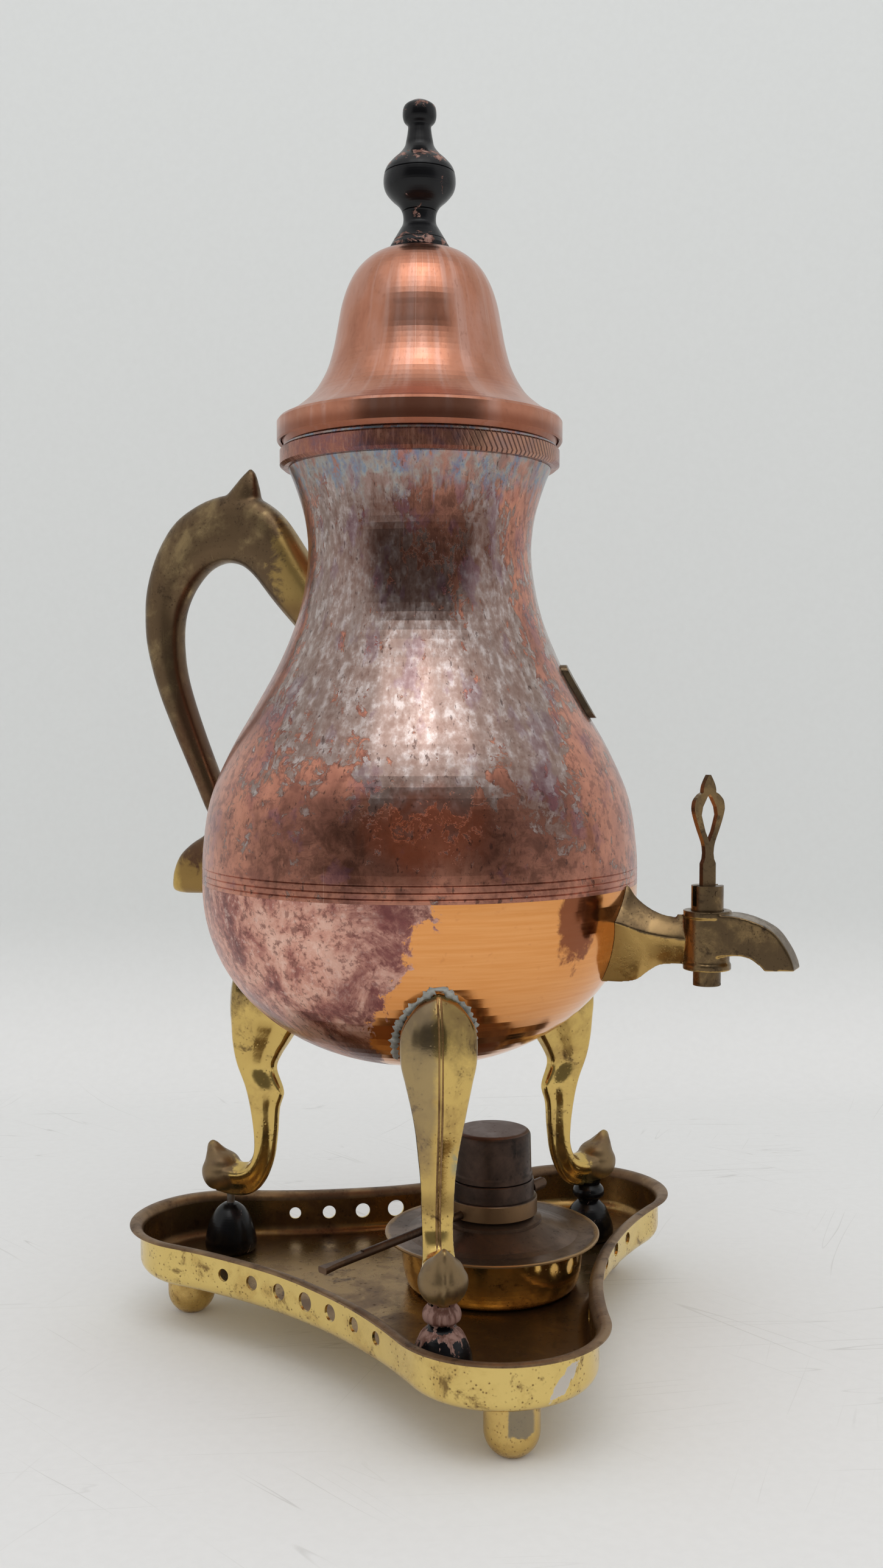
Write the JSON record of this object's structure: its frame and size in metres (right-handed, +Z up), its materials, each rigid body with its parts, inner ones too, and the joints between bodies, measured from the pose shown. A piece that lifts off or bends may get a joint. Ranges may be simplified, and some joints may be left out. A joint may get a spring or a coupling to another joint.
{
  "type": "spirit kettle on stand",
  "caption": "Pear-shaped copper tap urn with a loose bell lid, brass handle, plug tap and scroll legs, standing in a pierced lobed brass tray with a regulated spirit burner",
  "frame": {"origin": "on the table, at the middle of the part's outline seen from above; the urn's axis stands 10 mm towards the handle and 8.7 mm to the side of it", "axes": "+Z up along the urn, +X from the handle towards the tap"},
  "size_m": [0.256, 0.2138, 0.45],
  "materials": {
    "patina_copper": "copper under flaking silver-grey lacquer with purple and blue tints",
    "bowl_copper": "polished copper, part of it matte and stained",
    "band_copper": "brown copper with upright striations",
    "lid_copper": "satin brushed copper",
    "aged_brass": "cast brass, grey-brown with bright edges",
    "leg_brass": "polished cast brass with tarnish and solder at the top",
    "plaque_brass": "dull bare sheet",
    "bronze": "brown turned bronze",
    "tray_brass": "bright pressed brass with dark pitting",
    "dark_bronze": "dark satin bronze",
    "black_wood": "black gloss lacquer on turned wood, chipped",
    "steel": "plain turned steel",
    "cotton": "braided cotton, charred at the top"
  },
  "bodies": {
    "tray": {"tray": "tray_brass", "ball_foot_front": "tray_brass", "ball_foot_right": "tray_brass", "ball_foot_left": "tray_brass"},
    "urn": {"body_upper": "patina_copper", "body_lower": "bowl_copper", "neck_band": "band_copper", "plaque": "plaque_brass", "handle": "aged_brass", "leg_front": "leg_brass", "leg_right": "leg_brass", "leg_left": "leg_brass", "wood_foot_front": "black_wood", "wood_foot_right": "black_wood", "wood_foot_left": "black_wood", "foot_pin_front": "steel", "foot_pin_right": "steel", "foot_pin_left": "steel", "tap_body": "aged_brass"},
    "cock": {"tap_plug": "bronze", "tap_key": "aged_brass", "tap_rivet": "aged_brass", "tap_nut": "bronze"},
    "lid": {"lid_dome": "lid_copper", "lid_collar": "lid_copper", "finial": "black_wood", "finial_screw": "steel", "finial_washer": "steel"},
    "burner": {"burner_reservoir": "tray_brass", "burner_plate": "dark_bronze", "burner_neck": "dark_bronze", "wick_tube": "dark_bronze", "wick": "cotton"},
    "regulator": {"regulator_sleeve": "dark_bronze", "regulator_lever": "dark_bronze", "regulator_stub": "dark_bronze", "sleeve_stud": "tray_brass"},
    "cap": {"snuffer_cap": "dark_bronze"}
  },
  "joints": [
    {"name": "urn_lift", "type": "slide", "parent": "tray", "child": "urn", "axis": [0, 0, 1], "range_m": [0, 0.15]},
    {"name": "lid_lift", "type": "slide", "parent": "urn", "child": "lid", "axis": [0, 0, 1], "range_m": [0, 0.08]},
    {"name": "tap_turn", "type": "hinge", "parent": "urn", "child": "cock", "pos_m": [0.0975, -0.00871, 0.1545], "axis": [0, 0, 1], "continuous": true},
    {"name": "burner_slide", "type": "slide", "parent": "tray", "child": "burner", "axis": [-0.6528, -0.676, 0.342], "range_m": [0, 0.17]},
    {"name": "regulator_turn", "type": "hinge", "parent": "burner", "child": "regulator", "pos_m": [0.015, 0.00029, 0.052], "axis": [0, 0, 1], "range_deg": [-35, 20]},
    {"name": "cap_lift", "type": "slide", "parent": "burner", "child": "cap", "axis": [0, 0, 1], "range_m": [0, 0.015]}
  ]
}
